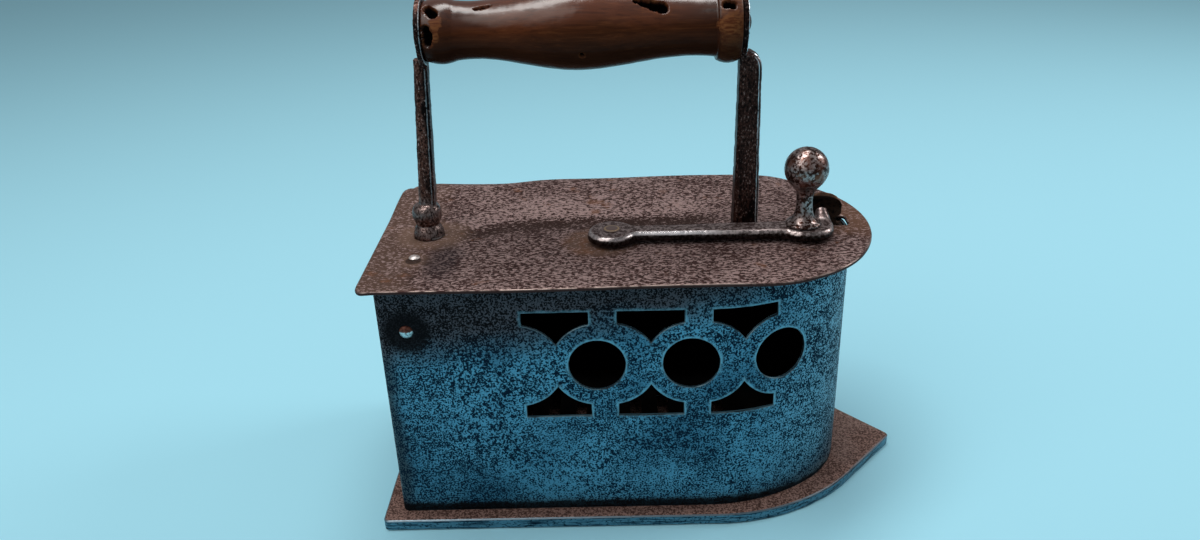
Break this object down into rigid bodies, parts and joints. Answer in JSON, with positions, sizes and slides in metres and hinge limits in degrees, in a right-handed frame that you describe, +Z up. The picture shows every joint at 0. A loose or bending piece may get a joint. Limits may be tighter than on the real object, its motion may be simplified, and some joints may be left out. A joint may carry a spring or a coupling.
{
  "type": "charcoal box iron",
  "caption": "Antique charcoal box iron: pointed sole, pierced sheet-iron box, hinged lid with a turned wooden handle, and a ball-knobbed latch lever that locks under a hooded keeper.",
  "frame": {"origin": "middle of the flat underside of the sole, half way from heel to toe", "axes": "+X towards the toe, +Y to the left of someone who looks along +X, +Z up"},
  "size_m": [0.21, 0.103, 0.1993],
  "materials": {
    "sole_iron": "worn iron with brown rust and a bright edge",
    "wall_iron": "speckled dark sheet iron",
    "lid_iron": "pitted brown sheet iron",
    "post_iron": "blackened forged iron",
    "latch_steel": "burnished dark steel",
    "rivet_iron": "worn bright rivet",
    "grip_wood": "dark worn polished wood"
  },
  "bodies": {
    "base": {"sole_plate": "sole_iron", "sole_rivets": "rivet_iron", "body_shell": "wall_iron", "heel_plate": "wall_iron", "heel_rivets": "rivet_iron", "hinge_pin": "rivet_iron", "fire_grate": "wall_iron", "grate_feet": "wall_iron", "latch_keeper": "latch_steel", "keeper_rivets": "rivet_iron"},
    "lid": {"lid_plate": "lid_iron", "hinge_bracket": "wall_iron", "hinge_rivets": "rivet_iron", "rear_post": "post_iron", "rear_post_rove": "rivet_iron", "front_post": "post_iron", "front_post_rove": "rivet_iron", "handle_grip": "grip_wood", "handle_rod": "rivet_iron", "latch_rivet": "latch_steel", "latch_washer": "latch_steel"},
    "latch": {"latch_lever": "latch_steel", "latch_knob": "latch_steel"}
  },
  "joints": [
    {"name": "lid_hinge", "type": "hinge", "parent": "base", "child": "lid", "pos_m": [-0.0874, 0, 0.0861], "axis": [0, -1, 0], "range_deg": [0, 105]},
    {"name": "latch_pivot", "type": "hinge", "parent": "lid", "child": "latch", "pos_m": [-0.01242, -0.0134, 0.109], "axis": [0, 0, 1], "range_deg": [-150, 3]}
  ]
}
